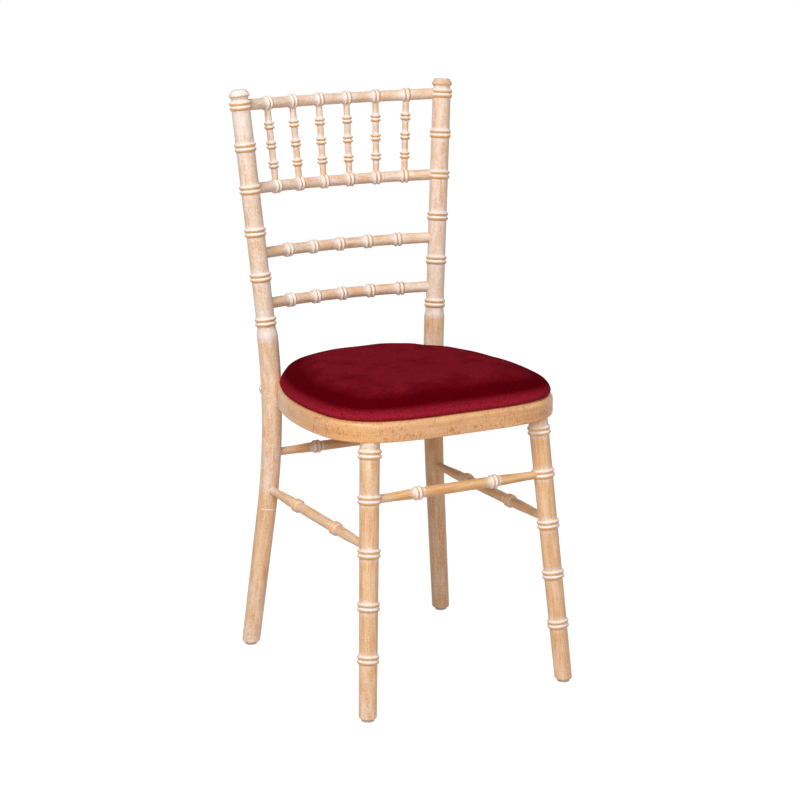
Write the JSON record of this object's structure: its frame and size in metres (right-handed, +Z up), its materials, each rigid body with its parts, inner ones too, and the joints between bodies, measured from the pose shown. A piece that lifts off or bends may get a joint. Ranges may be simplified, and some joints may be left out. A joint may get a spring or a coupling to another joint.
{
  "type": "banqueting chair with seat pad",
  "caption": "Stackable banqueting chair in bamboo-turned, limewashed beech with a bentwood seat ring, a spindle gallery in the back and a lift-off velour seat pad.",
  "frame": {"origin": "on the floor, under the middle of the chair's overall width and depth", "axes": "+Z up, the chair faces -Y, and +X is on the right of a viewer who stands in front of it"},
  "size_m": [0.4056, 0.468, 0.9161],
  "materials": {
    "limed_beech": "turned beech under a thin pinkish-white limewash that fills the grooves, satin",
    "lacquered_beech": "steam-bent beech with brown flecks under clear semi-gloss lacquer",
    "birch_plywood": "plain birch plywood, unfinished",
    "burgundy_velour": "short-pile burgundy velour over foam",
    "zinc_plated_steel": "bright zinc plating",
    "grey_nylon": "pale grey nylon",
    "hook_and_loop_tape": "black hook-and-loop tape"
  },
  "bodies": {
    "chair": {"rear_post_left": "limed_beech", "rear_post_right": "limed_beech", "front_leg_left": "limed_beech", "front_leg_right": "limed_beech", "back_top_rail": "limed_beech", "back_gallery_rail": "limed_beech", "back_mid_rail": "limed_beech", "back_low_rail": "limed_beech", "gallery_spindle_1": "limed_beech", "gallery_spindle_2": "limed_beech", "gallery_spindle_3": "limed_beech", "gallery_spindle_4": "limed_beech", "gallery_spindle_5": "limed_beech", "gallery_spindle_6": "limed_beech", "stretcher_front": "limed_beech", "stretcher_rear": "limed_beech", "stretcher_left": "limed_beech", "stretcher_right": "limed_beech", "seat_ring": "lacquered_beech", "seat_panel": "birch_plywood", "glide_front_left": "grey_nylon", "glide_front_right": "grey_nylon", "glide_rear_left": "grey_nylon", "glide_rear_right": "grey_nylon", "panel_screw_1": "zinc_plated_steel", "panel_screw_2": "zinc_plated_steel", "panel_screw_3": "zinc_plated_steel", "panel_screw_4": "zinc_plated_steel", "panel_screw_5": "zinc_plated_steel", "panel_screw_6": "zinc_plated_steel", "post_bolt_left": "zinc_plated_steel", "post_bolt_right": "zinc_plated_steel", "bolt_washer_left": "zinc_plated_steel", "bolt_washer_right": "zinc_plated_steel", "bolt_nut_left": "zinc_plated_steel", "bolt_nut_right": "zinc_plated_steel", "hook_patch_front_left": "hook_and_loop_tape", "hook_patch_front_right": "hook_and_loop_tape", "hook_patch_rear_left": "hook_and_loop_tape", "hook_patch_rear_right": "hook_and_loop_tape"},
    "pad": {"seat_pad": "burgundy_velour", "pad_board": "birch_plywood", "loop_patch_front_left": "hook_and_loop_tape", "loop_patch_front_right": "hook_and_loop_tape", "loop_patch_rear_left": "hook_and_loop_tape", "loop_patch_rear_right": "hook_and_loop_tape"}
  },
  "joints": [
    {"name": "seat_pad_lift", "type": "slide", "parent": "chair", "child": "pad", "axis": [0, -0.342, 0.9397], "range_m": [0, 0.1]}
  ]
}
